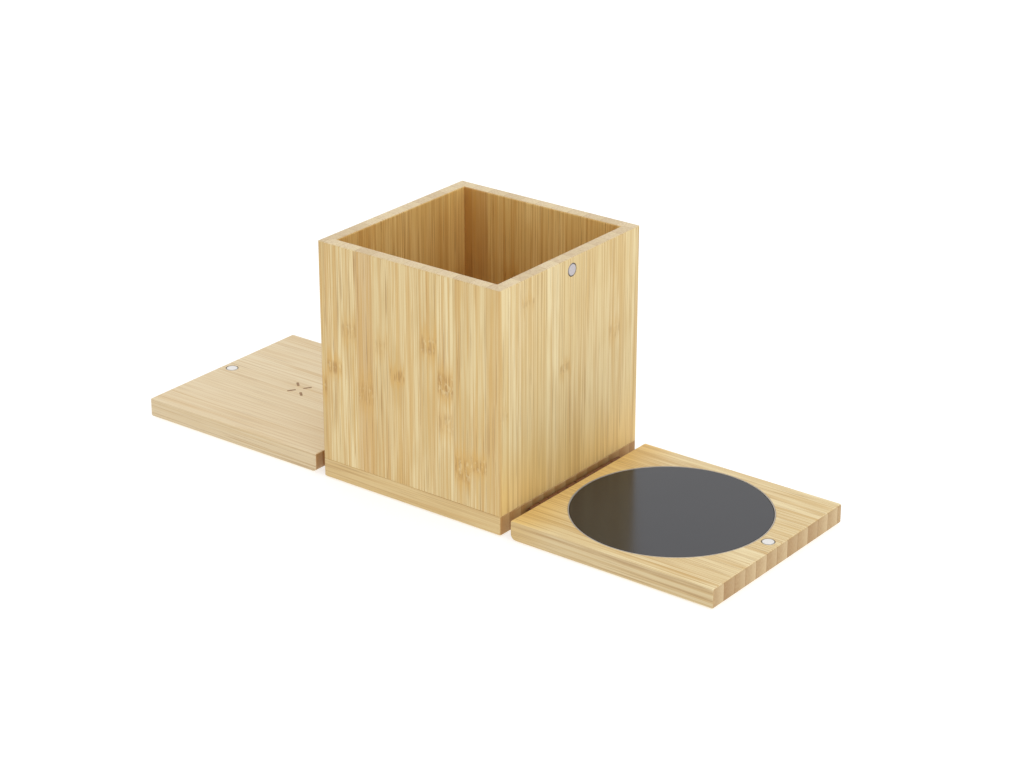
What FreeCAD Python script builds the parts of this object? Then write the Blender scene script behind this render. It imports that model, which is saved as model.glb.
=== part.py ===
import FreeCAD
import Part

import math
import os

# A bamboo pen holder with two side panels that fold down onto the desk: a phone charger and a mug warmer.
# Millimetres. The desk is z = 0 and the origin is the middle of the box's footprint.
# The warmer is on the +X side, the charger on the -X side, and the power inlet in the +Y face of the base.

Vector = FreeCAD.Vector

# Box
BOX_WIDTH = 84.0
BOX_DEPTH = 84.6
BOX_HEIGHT = 95.0
WALL = 5.2
CORNER_ROUND = 1.0
RIM_ROUND = 0.7
SEAM_ROUND = 0.3

# Boards of the base and of both panels
BOARD = 7.6
EDGE_ROUND = 0.8
END_ROUND = 0.5
SKIN = 2.0
COVER = 1.4
LEDGE = 3.4
SEAT_FIT = 0.1

# Panels and their fold
PANEL_WIDTH = 84.0
HEEL_ROUND = 2.3
HINGE_GAP = 4.2
HINGE_OFFSET = 2.25
FOLD_CLEARANCE = 0.3

# Strip hinges
HINGE_END_MARGIN = 13.9
HINGE_MIDDLE_GAP = 0.4
KNUCKLES = 5
KNUCKLE_GAP = 0.3
SWING_GAP = 0.3
SHEET = 0.5
BEND = 1.0
LEAF_GRIP = 5.2
LEAF_SCREW_INSET = 1.5
LEAF_SCREW_END = 5.0
PIN_DIAMETER = 0.8
PIN_FIT = 0.04

# Small countersunk wood screws
SCREW_HEAD_DIAMETER = 2.4
SCREW_HEAD_HEIGHT = 0.55
SCREW_DIAMETER = 1.3
SCREW_LENGTH = 3.4
SCREW_FIT = 0.05

# Rubber feet
FOOT_DIAMETER = 8.0
FOOT_PROUD = 0.4
FOOT_SUNK = 0.8
FOOT_INSET = 6.6
FOOT_CHAMFER = 0.2

# Magnets
MAGNET_DIAMETER = 5.0
MAGNET_THICKNESS = 2.0
MAGNET_EDGE = 4.8
MAGNET_BEVEL = 0.25

# Warming plate, from the glass down
GLASS_SIDE_MARGIN = 4.45
GLASS_HINGE_MARGIN = 3.55
GLASS_MAGNET_MARGIN = 0.9
GLASS_THICKNESS = 3.0
GLASS_CHAMFER = 0.3
SEAL_WIDTH = 0.4
SEAL_FIT = 0.04
GLASS_LEDGE = 6.9
HEATER_THICKNESS = 0.8
HEATER_ROOM = 0.5
SENSOR_DIAMETER = 4.0
SENSOR_THICKNESS = 1.2
SENSOR_ROOM = 0.5

# Phone charger, from the coil down
CHARGER_SHIFT = 2.6
CHARGER_SIDE_MARGIN = 11.0
CHARGER_HINGE_MARGIN = 13.5
COIL_MARGIN = 6.0
COIL_HOLE = 20.0
COIL_THICKNESS = 1.2
FERRITE_MARGIN = 1.5
FERRITE_THICKNESS = 0.8
CHARGER_CIRCUIT_MARGIN = 2.0
CHARGER_CIRCUIT_THICKNESS = 0.8
CHARGER_CHIP = 6.0
CHARGER_CHIP_HEIGHT = 1.0
CHARGER_CHIPS = 6

# Power board in the base
SIDE_RIM = 14.0
POCKET_ROUND = 3.0
BACK_RIM = 6.0
FRONT_RIM = 16.6
BOARD_MARGIN = 4.0
CIRCUIT_THICKNESS = 1.0
CIRCUIT_ROUND = 1.5
CIRCUIT_SCREW_INSET = 4.0
POST_DIAMETER = 5.0
POWER_SCREW_HEAD = 1.0
POWER_CHIP = 7.0
POWER_CHIP_HEIGHT = 1.1
CAPACITOR_DIAMETER = 4.0
CAPACITORS = 4

# Power inlet
INLET_WIDTH = 8.94
INLET_HEIGHT = 3.2
INLET_LENGTH = 7.3
INLET_WALL = 0.3
INLET_ROUND = 1.4
INLET_RECESS = 0.4
INLET_FIT = 0.15
INLET_BACK = 1.2
TONGUE_WIDTH = 6.3
TONGUE_HEIGHT = 0.7
TONGUE_SETBACK = 0.8

# Leads across the hinge gaps
LEAD_DIAMETER = 1.6
LEAD_FIT = 0.15
LEAD_FLOOR = 0.1
LEAD_END = 1.5
LEAD_NOTCH = 4.0

# Places that follow from the sizes
BOARD_BOTTOM = FOOT_PROUD
BOARD_TOP = FOOT_PROUD + BOARD
COVER_TOP = BOARD_BOTTOM + COVER
POCKET_CEILING = BOARD_TOP - SKIN
FOLD_HALF_LENGTH = min(BOX_DEPTH, PANEL_WIDTH) / 2
HINGE_REACH = FOLD_HALF_LENGTH - HINGE_END_MARGIN
HINGE_LENGTH = HINGE_REACH - HINGE_MIDDLE_GAP / 2
HINGE_SPACING = HINGE_LENGTH + HINGE_MIDDLE_GAP
LEAF_SCREW_SPACING = HINGE_LENGTH - 2 * LEAF_SCREW_END
HINGE_X = BOX_WIDTH / 2 + HINGE_OFFSET
HINGE_Z = BOARD_TOP + FOLD_CLEARANCE - HINGE_OFFSET
PANEL_START = BOX_WIDTH / 2 + HINGE_GAP
PANEL_LENGTH = BOX_HEIGHT - HINGE_Z - (HINGE_GAP - HINGE_OFFSET)
MAGNET_HOLE = MAGNET_DIAMETER / 2 + SEAT_FIT
PIN_BORE = PIN_DIAMETER / 2 + PIN_FIT
BARREL = PIN_BORE + SHEET
LEAD_HOLE = LEAD_DIAMETER / 2 + LEAD_FIT
LEAD_HEIGHT = COVER_TOP + LEAD_FLOOR + LEAD_HOLE
PANEL_MAGNET = PANEL_LENGTH - MAGNET_EDGE
GLASS_SEAT = min(
    PANEL_WIDTH / 2 - GLASS_SIDE_MARGIN,
    (PANEL_MAGNET - MAGNET_HOLE - GLASS_MAGNET_MARGIN - GLASS_HINGE_MARGIN) / 2,
)
GLASS_CENTRE = GLASS_HINGE_MARGIN + GLASS_SEAT
GLASS_BOTTOM = BOARD_TOP - GLASS_THICKNESS
HEATER_BORE = GLASS_SEAT - GLASS_LEDGE
CHARGER_CENTRE = PANEL_LENGTH / 2 + CHARGER_SHIFT
CHARGER_BORE = min(PANEL_WIDTH / 2 - CHARGER_SIDE_MARGIN, CHARGER_CENTRE - CHARGER_HINGE_MARGIN)
COIL_RADIUS = CHARGER_BORE - COIL_MARGIN
POCKET_WIDTH = BOX_WIDTH - 2 * SIDE_RIM
POCKET_BACK = BOX_DEPTH / 2 - BACK_RIM
POCKET_FRONT = FRONT_RIM - BOX_DEPTH / 2
INLET_MIDDLE = (COVER_TOP + POCKET_CEILING) / 2
CIRCUIT_BOTTOM = INLET_MIDDLE - CIRCUIT_THICKNESS / 2
CIRCUIT_TOP = CIRCUIT_BOTTOM + CIRCUIT_THICKNESS
CIRCUIT_HALF_WIDTH = POCKET_WIDTH / 2 - BOARD_MARGIN
CIRCUIT_FRONT = POCKET_FRONT + BOARD_MARGIN
CIRCUIT_BACK = POCKET_BACK - SEAT_FIT
INLET_MOUTH = BOX_DEPTH / 2 - INLET_RECESS
INLET_REAR = INLET_MOUTH - INLET_LENGTH


def block(x0, x1, y0, y1, z0, z1):
    """A box between two corners."""
    return Part.makeBox(x1 - x0, y1 - y0, z1 - z0, Vector(x0, y0, z0))


def disc(radius, z0, z1, x=0.0, y=0.0):
    """An upright cylinder between two heights."""
    return Part.makeCylinder(radius, z1 - z0, Vector(x, y, z0))


def rounded_wire(corners, radii):
    """A closed outline through the corners, each rounded by its own radius where that isn't zero."""
    starts = []
    ends = []
    middles = []
    for i, (corner, radius) in enumerate(zip(corners, radii)):
        back = (corners[i - 1] - corner).normalize()
        ahead = (corners[(i + 1) % len(corners)] - corner).normalize()
        half = back.getAngle(ahead) / 2
        inward = (back + ahead).normalize()
        starts.append(corner + back * (radius / math.tan(half)))
        ends.append(corner + ahead * (radius / math.tan(half)))
        middles.append(corner + inward * (radius / math.sin(half) - radius))
    edges = []
    for i, radius in enumerate(radii):
        if radius > 0:
            edges.append(Part.Arc(starts[i], middles[i], ends[i]).toShape())
        edges.append(Part.LineSegment(ends[i], starts[(i + 1) % len(corners)]).toShape())
    return Part.Wire(edges)


def prism(corners, radii, travel):
    """The rounded outline pushed along a vector."""
    return Part.Face(rounded_wire(corners, radii)).extrude(travel)


def upright_plate(x0, x1, y0, y1, z0, z1, radius):
    """A plate with rounded upright corners."""
    corners = [Vector(x0, y0, z0), Vector(x1, y0, z0), Vector(x1, y1, z0), Vector(x0, y1, z0)]
    return prism(corners, [radius] * len(corners), Vector(0, 0, z1 - z0))


def level_edges(solid, z):
    """The edges of a solid that lie flat at one height."""
    return [e for e in solid.Edges if e.BoundBox.ZLength < 1e-6 and abs(e.BoundBox.ZMin - z) < 1e-6]


def end_edges(solid, y):
    """The edges of a solid that lie in one plane square to Y."""
    return [e for e in solid.Edges if e.BoundBox.YLength < 1e-6 and abs(e.BoundBox.YMin - y) < 1e-6]


def turned(solid, degrees):
    """A copy turned about the box's upright axis."""
    copy = solid.copy()
    copy.rotate(Vector(0, 0, 0), Vector(0, 0, 1), degrees)
    return copy


def mirrored(shape):
    """The same piece on the opposite, -X side."""
    return shape.mirror(Vector(0, 0, 0), Vector(1, 0, 0))


def on_warmer(shape):
    """Moves a piece that is drawn from a panel's hinge edge to the +X panel."""
    copy = shape.copy()
    copy.translate(Vector(PANEL_START, 0, 0))
    return copy


def on_charger(shape):
    """Moves a piece that is drawn from a panel's hinge edge to the -X panel."""
    return mirrored(on_warmer(shape))


def group(solids):
    """Like pieces kept together as separate solids."""
    return Part.makeCompound(solids)


# Screws, magnets and feet


def screw_form(x, y, head_z, growth=0.0):
    """A countersunk screw that points up, or with a growth the hole that takes it."""
    head = SCREW_HEAD_DIAMETER / 2 + growth
    shank = SCREW_DIAMETER / 2 + growth
    cone_top = head_z + SCREW_HEAD_HEIGHT
    cone = Part.makeCone(head, shank, SCREW_HEAD_HEIGHT, Vector(x, y, head_z))
    return cone.fuse(disc(shank, cone_top, head_z + SCREW_LENGTH + growth, x, y)).removeSplitter()


def magnet():
    """A disc magnet with its face at z = 0 and its edge bevelled."""
    body = disc(MAGNET_DIAMETER / 2, -MAGNET_THICKNESS, 0)
    return body.makeChamfer(MAGNET_BEVEL, level_edges(body, 0))


def magnet_hole():
    """The hole that takes a magnet whose face is at z = 0."""
    return disc(MAGNET_HOLE, -MAGNET_THICKNESS, 0)


def foot(x, y):
    """A round rubber pad, part sunk in the board."""
    pad = disc(FOOT_DIAMETER / 2, 0, FOOT_PROUD + FOOT_SUNK, x, y)
    return pad.makeChamfer(FOOT_CHAMFER, level_edges(pad, 0))


def foot_hole(x, y):
    """The shallow hole that takes a foot."""
    return disc(FOOT_DIAMETER / 2 + SEAT_FIT, BOARD_BOTTOM, BOARD_BOTTOM + FOOT_SUNK, x, y)


def four_places(x0, x1, y):
    """The corners of a rectangle that is even about the X axis."""
    return [(x0, -y), (x1, -y), (x1, y), (x0, y)]


BASE_FEET = four_places(FOOT_INSET - BOX_WIDTH / 2, BOX_WIDTH / 2 - FOOT_INSET, BOX_DEPTH / 2 - FOOT_INSET)
PANEL_FEET = four_places(FOOT_INSET, PANEL_LENGTH - FOOT_INSET, PANEL_WIDTH / 2 - FOOT_INSET)


# Strip hinges on the +X side, two in line, each with cranked leaves under the base and the panel


def hinge_middles():
    """Where the two hinges stand along the fold."""
    return [-HINGE_SPACING / 2, HINGE_SPACING / 2]


def knuckle_span(middle, index):
    """The two ends of one knuckle along the fold."""
    pitch = HINGE_LENGTH / KNUCKLES
    start = middle - HINGE_LENGTH / 2 + index * pitch
    return start + KNUCKLE_GAP / 2, start + pitch - KNUCKLE_GAP / 2


def along_fold(radius, y0, y1):
    """A cylinder on the fold axis."""
    return Part.makeCylinder(radius, y1 - y0, Vector(HINGE_X, y0, HINGE_Z), Vector(0, 1, 0))


def hinge_leaf(middle, side, edge_distance, first_knuckle):
    """One leaf: it drops from the barrel, bends and runs flat under a board. side is +1 for the panel's."""
    near = HINGE_X + side * (BARREL - SHEET)
    far = HINGE_X + side * BARREL
    tip = HINGE_X + side * (edge_distance + LEAF_GRIP)
    y0 = middle - HINGE_LENGTH / 2
    y1 = middle + HINGE_LENGTH / 2
    corners = [
        Vector(near, y0, HINGE_Z),
        Vector(near, y0, BOARD_BOTTOM),
        Vector(tip, y0, BOARD_BOTTOM),
        Vector(tip, y0, BOARD_BOTTOM + SHEET),
        Vector(far, y0, BOARD_BOTTOM + SHEET),
        Vector(far, y0, HINGE_Z),
    ]
    leaf = prism(corners, [0, BEND + SHEET, 0, 0, BEND, 0], Vector(0, HINGE_LENGTH, 0))
    slot_floor = HINGE_Z - BARREL - SWING_GAP
    for index in range(KNUCKLES):
        k0, k1 = knuckle_span(middle, index)
        if index % 2 == first_knuckle:
            leaf = leaf.fuse(along_fold(BARREL, k0, k1))
        else:
            s0 = max(k0 - KNUCKLE_GAP, y0)
            s1 = min(k1 + KNUCKLE_GAP, y1)
            room = HINGE_X + side * (BARREL + SWING_GAP)
            leaf = leaf.cut(block(min(HINGE_X, room), max(HINGE_X, room), s0, s1, slot_floor, HINGE_Z))
    leaf = leaf.cut(along_fold(PIN_BORE, y0, y1)).cut(lead_window())
    for x, y in leaf_screw_places(middle, side, edge_distance):
        leaf = leaf.cut(screw_form(x, y, BOARD_BOTTOM, SCREW_FIT))
    return leaf.removeSplitter()


def lead_window():
    """The opening in the leaves where a lead crosses the fold."""
    half = LEAD_HOLE + SWING_GAP
    top = LEAD_HEIGHT + LEAD_HOLE + SWING_GAP
    return block(HINGE_X - BARREL, HINGE_X + BARREL, -half, half, LEAD_HEIGHT - LEAD_HOLE, top)


def leaf_screw_places(middle, side, edge_distance):
    """The two screws of one leaf."""
    x = HINGE_X + side * (edge_distance + LEAF_GRIP - LEAF_SCREW_INSET)
    return [(x, middle - LEAF_SCREW_SPACING / 2), (x, middle + LEAF_SCREW_SPACING / 2)]


BASE_SIDE = (-1, HINGE_OFFSET)
PANEL_SIDE = (1, HINGE_GAP - HINGE_OFFSET)


def hinge_leaves(side, first_knuckle):
    """The leaves of both hinges on one side of the fold."""
    return group([hinge_leaf(m, side[0], side[1], first_knuckle) for m in hinge_middles()])


def hinge_pins():
    """The pins of both hinges."""
    half = HINGE_LENGTH / 2
    return group([along_fold(PIN_DIAMETER / 2, m - half, m + half) for m in hinge_middles()])


def hinge_screws(side):
    """The screws through the leaves of both hinges on one side of the fold."""
    places = [p for m in hinge_middles() for p in leaf_screw_places(m, side[0], side[1])]
    return group([screw_form(x, y, BOARD_BOTTOM) for x, y in places])


def hinge_cut(board, side):
    """A board with the mortise of its two leaves and the holes of their screws."""
    edge = HINGE_X + side[0] * side[1]
    tip = edge + side[0] * (LEAF_GRIP + SEAT_FIT)
    half = HINGE_REACH + SEAT_FIT
    mortise = block(min(edge, tip), max(edge, tip), -half, half, BOARD_BOTTOM, BOARD_BOTTOM + SHEET)
    board = board.cut(mortise)
    for middle in hinge_middles():
        for x, y in leaf_screw_places(middle, side[0], side[1]):
            board = board.cut(screw_form(x, y, BOARD_BOTTOM, SCREW_FIT))
    return board


# Box


def box_outline(z0, z1):
    """The box's outer outline as a solid column."""
    return upright_plate(
        -BOX_WIDTH / 2, BOX_WIDTH / 2, -BOX_DEPTH / 2, BOX_DEPTH / 2, z0, z1, CORNER_ROUND
    )


def wall(length, reach, degrees):
    """One wall: a board on edge, mitred at both ends, turned to its side of the box."""
    outer = -reach
    inner = WALL - reach
    half = length / 2
    section = [
        Vector(-half, outer, BOARD_TOP),
        Vector(-half, inner, BOARD_TOP),
        Vector(-half, inner, BOX_HEIGHT),
        Vector(-half, outer, BOX_HEIGHT),
    ]
    plank = prism(section, [SEAM_ROUND, 0, RIM_ROUND, RIM_ROUND], Vector(length, 0, 0))
    mitre = [
        Vector(-half, outer, BOARD_TOP),
        Vector(half, outer, BOARD_TOP),
        Vector(half - WALL, inner, BOARD_TOP),
        Vector(WALL - half, inner, BOARD_TOP),
    ]
    wedge = prism(mitre, [0] * len(mitre), Vector(0, 0, BOX_HEIGHT - BOARD_TOP))
    return turned(plank.common(wedge), degrees).common(box_outline(BOARD_TOP, BOX_HEIGHT))


def in_side_wall(shape):
    """Turns a magnet or its hole to face +X, near the rim of the box."""
    copy = shape.copy()
    copy.rotate(Vector(0, 0, 0), Vector(0, 1, 0), 90)
    copy.translate(Vector(BOX_WIDTH / 2, 0, BOX_HEIGHT - MAGNET_EDGE))
    return copy


def side_wall():
    """The +X wall with its magnet hole."""
    return wall(BOX_DEPTH, BOX_WIDTH / 2, 90).cut(in_side_wall(magnet_hole()))


def base_cover_plate(growth=0.0):
    """The cover under the base, or with a growth the rebate that takes it."""
    ledge = LEDGE - SEAT_FIT + growth
    half = POCKET_WIDTH / 2 + ledge
    return upright_plate(
        -half, half, POCKET_FRONT - ledge, POCKET_BACK + ledge, BOARD_BOTTOM, COVER_TOP, POCKET_ROUND
    )


def base_cover_screw_places():
    """The screws at the corners of the base cover."""
    half = POCKET_WIDTH / 2 + LEDGE / 2
    front = POCKET_FRONT - LEDGE / 2
    back = POCKET_BACK + LEDGE / 2
    return [(-half, front), (half, front), (half, back), (-half, back)]


def inlet_body(growth, y0, y1):
    """The power inlet's outer form between two depths."""
    half_width = INLET_WIDTH / 2 + growth
    low = INLET_MIDDLE - INLET_HEIGHT / 2 - growth
    high = INLET_MIDDLE + INLET_HEIGHT / 2 + growth
    corners = [
        Vector(-half_width, y0, low),
        Vector(half_width, y0, low),
        Vector(half_width, y0, high),
        Vector(-half_width, y0, high),
    ]
    return prism(corners, [INLET_ROUND + growth] * len(corners), Vector(0, y1 - y0, 0))


def power_screw_places():
    """The screws at the corners of the power board."""
    x = CIRCUIT_HALF_WIDTH - CIRCUIT_SCREW_INSET
    front = CIRCUIT_FRONT + CIRCUIT_SCREW_INSET
    back = CIRCUIT_BACK - CIRCUIT_SCREW_INSET
    return [(-x, front), (x, front), (x, back), (-x, back)]


def lead_hole(x0, x1):
    """A hole along X for a lead."""
    return Part.makeCylinder(LEAD_HOLE, x1 - x0, Vector(x0, 0, LEAD_HEIGHT), Vector(1, 0, 0))


def base_board():
    """The board under the box, pocketed from below for the power board."""
    board = box_outline(BOARD_BOTTOM, BOARD_TOP)
    board = board.makeFillet(EDGE_ROUND, level_edges(board, BOARD_BOTTOM))
    board = board.makeFillet(SEAM_ROUND, level_edges(board, BOARD_TOP))
    half = POCKET_WIDTH / 2
    pocket = upright_plate(
        -half, half, POCKET_FRONT, POCKET_BACK, BOARD_BOTTOM, POCKET_CEILING, POCKET_ROUND
    )
    for x, y in power_screw_places():
        pocket = pocket.cut(disc(POST_DIAMETER / 2, CIRCUIT_TOP, POCKET_CEILING, x, y))
    board = board.cut(pocket).cut(base_cover_plate(SEAT_FIT))
    board = board.cut(inlet_body(INLET_FIT, INLET_REAR, BOX_DEPTH / 2))
    board = board.cut(lead_hole(-BOX_WIDTH / 2, BOX_WIDTH / 2))
    for x, y in power_screw_places():
        board = board.cut(power_screw(x, y, SCREW_FIT))
    for x, y in base_cover_screw_places():
        board = board.cut(screw_form(x, y, BOARD_BOTTOM, SCREW_FIT))
    for x, y in BASE_FEET:
        board = board.cut(foot_hole(x, y))
    board = hinge_cut(board, BASE_SIDE)
    return mirrored(hinge_cut(mirrored(board), BASE_SIDE))


def base_cover():
    """The plate that closes the base from below."""
    plate = base_cover_plate()
    for x, y in base_cover_screw_places():
        plate = plate.cut(screw_form(x, y, BOARD_BOTTOM, SCREW_FIT))
    return plate


def power_screw(x, y, growth=0.0):
    """A small screw with a flat head that holds the power board to its post."""
    tip = POCKET_CEILING + growth
    head = disc(SCREW_HEAD_DIAMETER / 2 + growth, CIRCUIT_BOTTOM - POWER_SCREW_HEAD, CIRCUIT_BOTTOM, x, y)
    return head.fuse(disc(SCREW_DIAMETER / 2 + growth, CIRCUIT_BOTTOM, tip, x, y)).removeSplitter()


def power_board():
    """The circuit board in the base, with its chips, capacitors and a notch for the inlet."""
    plate = upright_plate(
        -CIRCUIT_HALF_WIDTH, CIRCUIT_HALF_WIDTH, CIRCUIT_FRONT, CIRCUIT_BACK,
        CIRCUIT_BOTTOM, CIRCUIT_TOP, CIRCUIT_ROUND,
    )
    chips_y = (CIRCUIT_FRONT + CIRCUIT_BACK) / 2
    for side in (-1, 1):
        x = side * CIRCUIT_HALF_WIDTH / 2
        half = POWER_CHIP / 2
        top = CIRCUIT_TOP + POWER_CHIP_HEIGHT
        plate = plate.fuse(block(x - half, x + half, chips_y - half, chips_y + half, CIRCUIT_TOP, top))
    pitch = 2 * CIRCUIT_HALF_WIDTH / (CAPACITORS + 1)
    for index in range(CAPACITORS):
        x = (index + 1) * pitch - CIRCUIT_HALF_WIDTH
        y = (CIRCUIT_FRONT + chips_y) / 2
        plate = plate.fuse(disc(CAPACITOR_DIAMETER / 2, CIRCUIT_TOP, CIRCUIT_TOP + POWER_CHIP_HEIGHT, x, y))
    plate = plate.cut(inlet_body(INLET_FIT, INLET_REAR - INLET_FIT, BOX_DEPTH / 2))
    for x, y in power_screw_places():
        plate = plate.cut(power_screw(x, y, SCREW_FIT))
    return plate.removeSplitter()


def power_inlet():
    """The USB-C socket: a thin oval shell, closed behind, round a flat tongue."""
    shell = inlet_body(0, INLET_REAR, INLET_MOUTH)
    shell = shell.cut(inlet_body(-INLET_WALL, INLET_REAR + INLET_BACK, INLET_MOUTH))
    tongue = block(
        -TONGUE_WIDTH / 2, TONGUE_WIDTH / 2, INLET_REAR + INLET_BACK, INLET_MOUTH - TONGUE_SETBACK,
        INLET_MIDDLE - TONGUE_HEIGHT / 2, INLET_MIDDLE + TONGUE_HEIGHT / 2,
    )
    return shell.fuse(tongue).removeSplitter()


# Panels, drawn from the hinge edge outwards along X


def in_panel(shape):
    """Moves a magnet or its hole to its place near a panel's outer edge."""
    copy = shape.copy()
    copy.translate(Vector(PANEL_MAGNET, 0, BOARD_TOP))
    return copy


def panel_board():
    """A plain panel: heel rounded where it swings past the base, other edges eased."""
    half = PANEL_WIDTH / 2
    section = [
        Vector(0, -half, BOARD_BOTTOM),
        Vector(PANEL_LENGTH, -half, BOARD_BOTTOM),
        Vector(PANEL_LENGTH, -half, BOARD_TOP),
        Vector(0, -half, BOARD_TOP),
    ]
    radii = [HEEL_ROUND, EDGE_ROUND, EDGE_ROUND, EDGE_ROUND]
    board = prism(section, radii, Vector(0, PANEL_WIDTH, 0))
    board = board.makeFillet(END_ROUND, end_edges(board, -half) + end_edges(board, half))
    board = board.cut(in_panel(magnet_hole()))
    for x, y in PANEL_FEET:
        board = board.cut(foot_hole(x, y))
    hinged = hinge_cut(on_warmer(board), PANEL_SIDE)
    hinged.translate(Vector(-PANEL_START, 0, 0))
    return hinged


def panel_feet():
    """The feet under a panel."""
    return group([foot(x, y) for x, y in PANEL_FEET])


def cover_screw_places(centre, bore):
    """The four screws round a round cover."""
    reach = (bore + LEDGE / 2) * math.sqrt(0.5)
    return four_places(centre - reach, centre + reach, reach)


def round_cover(centre, bore):
    """The round plate that closes a panel's pocket from below."""
    plate = disc(bore + LEDGE - SEAT_FIT, BOARD_BOTTOM, COVER_TOP, centre)
    for x, y in cover_screw_places(centre, bore):
        plate = plate.cut(screw_form(x, y, BOARD_BOTTOM, SCREW_FIT))
    return plate


def cover_screws(centre, bore):
    """The screws of a round cover."""
    return group([screw_form(x, y, BOARD_BOTTOM) for x, y in cover_screw_places(centre, bore)])


def pocketed_panel(centre, bore, ceiling):
    """A panel with a round pocket from below, a rebate for its cover and a hole for its lead."""
    board = panel_board().cut(disc(bore, BOARD_BOTTOM, ceiling, centre))
    board = board.cut(disc(bore + LEDGE, BOARD_BOTTOM, COVER_TOP, centre))
    board = board.cut(lead_hole(0, centre))
    for x, y in cover_screw_places(centre, bore):
        board = board.cut(screw_form(x, y, BOARD_BOTTOM, SCREW_FIT))
    return board


def warmer_panel():
    """The panel that carries the warming plate, with a wider seat for the glass on top."""
    board = pocketed_panel(GLASS_CENTRE, HEATER_BORE, GLASS_BOTTOM)
    return board.cut(disc(GLASS_SEAT, GLASS_BOTTOM, BOARD_TOP, GLASS_CENTRE))


def glass_radius():
    """The glass inside its seal."""
    return GLASS_SEAT - SEAT_FIT - SEAL_WIDTH


def heating_glass():
    """The black glass plate, level with the panel."""
    plate = disc(glass_radius(), GLASS_BOTTOM, BOARD_TOP, GLASS_CENTRE)
    return plate.makeChamfer(GLASS_CHAMFER, level_edges(plate, BOARD_TOP))


def glass_seal():
    """The thin seal round the glass."""
    ring = disc(GLASS_SEAT - SEAT_FIT, GLASS_BOTTOM, BOARD_TOP, GLASS_CENTRE)
    return ring.cut(disc(glass_radius() + SEAL_FIT, GLASS_BOTTOM, BOARD_TOP, GLASS_CENTRE))


def heating_element():
    """The flat heater pressed against the underside of the glass."""
    return disc(HEATER_BORE - HEATER_ROOM, GLASS_BOTTOM - HEATER_THICKNESS, GLASS_BOTTOM, GLASS_CENTRE)


def insulation_pad():
    """The pad between heater and cover, open for the sensor and the lead's end."""
    top = GLASS_BOTTOM - HEATER_THICKNESS
    pad = disc(HEATER_BORE - HEATER_ROOM, COVER_TOP, top, GLASS_CENTRE)
    pad = pad.cut(disc(SENSOR_DIAMETER / 2 + SENSOR_ROOM, COVER_TOP, top, GLASS_CENTRE))
    edge = GLASS_CENTRE - HEATER_BORE
    half = LEAD_NOTCH / 2
    return pad.cut(block(edge, edge + LEAD_NOTCH, -half, half, COVER_TOP, top))


def temperature_sensor():
    """The sensor held against the middle of the heater."""
    top = GLASS_BOTTOM - HEATER_THICKNESS
    return disc(SENSOR_DIAMETER / 2, top - SENSOR_THICKNESS, top, GLASS_CENTRE)


def charger_panel():
    """The panel that carries the charging coil under a thin skin."""
    return pocketed_panel(CHARGER_CENTRE, CHARGER_BORE, POCKET_CEILING)


def charging_coil():
    """The flat coil under the panel's skin."""
    bottom = POCKET_CEILING - COIL_THICKNESS
    coil = disc(COIL_RADIUS, bottom, POCKET_CEILING, CHARGER_CENTRE)
    return coil.cut(disc(COIL_HOLE / 2, bottom, POCKET_CEILING, CHARGER_CENTRE))


def ferrite_shield():
    """The plate behind the coil."""
    top = POCKET_CEILING - COIL_THICKNESS
    return disc(COIL_RADIUS + FERRITE_MARGIN, top - FERRITE_THICKNESS, top, CHARGER_CENTRE)


def charger_circuit():
    """The round circuit board under the shield, cut flat towards the lead, with a ring of chips."""
    top = POCKET_CEILING - COIL_THICKNESS - FERRITE_THICKNESS
    bottom = top - CHARGER_CIRCUIT_THICKNESS
    radius = CHARGER_BORE - CHARGER_CIRCUIT_MARGIN
    plate = disc(radius, bottom, top, CHARGER_CENTRE)
    flat = charger_lead_end()
    plate = plate.cut(block(flat - radius, flat, -radius, radius, bottom, top))
    half = CHARGER_CHIP / 2
    for index in range(CHARGER_CHIPS):
        angle = 2 * math.pi * (index + 0.5) / CHARGER_CHIPS
        x = CHARGER_CENTRE + radius / 2 * math.cos(angle)
        y = radius / 2 * math.sin(angle)
        chip_bottom = bottom - CHARGER_CHIP_HEIGHT
        plate = plate.fuse(block(x - half, x + half, y - half, y + half, chip_bottom, bottom))
    return plate.removeSplitter()


# Leads from the power board, through the base, across a gap and into a panel


def charger_lead_end():
    """How far from the hinge edge the charger's lead meets its circuit board."""
    return CHARGER_CENTRE - CHARGER_BORE + CHARGER_CIRCUIT_MARGIN + LEAD_END


def warmer_lead_end():
    """How far from the hinge edge the warmer's lead meets its heater."""
    return GLASS_CENTRE - HEATER_BORE + LEAD_END


def lead(end):
    """A lead on the +X side, from the edge of the power board to a place in the panel."""
    start = CIRCUIT_HALF_WIDTH + SEAT_FIT
    length = PANEL_START + end - SEAT_FIT - start
    return Part.makeCylinder(LEAD_DIAMETER / 2, length, Vector(start, 0, LEAD_HEIGHT), Vector(1, 0, 0))


warmer_leaves = hinge_leaves(PANEL_SIDE, 1)
base_leaves = hinge_leaves(BASE_SIDE, 0)

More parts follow.
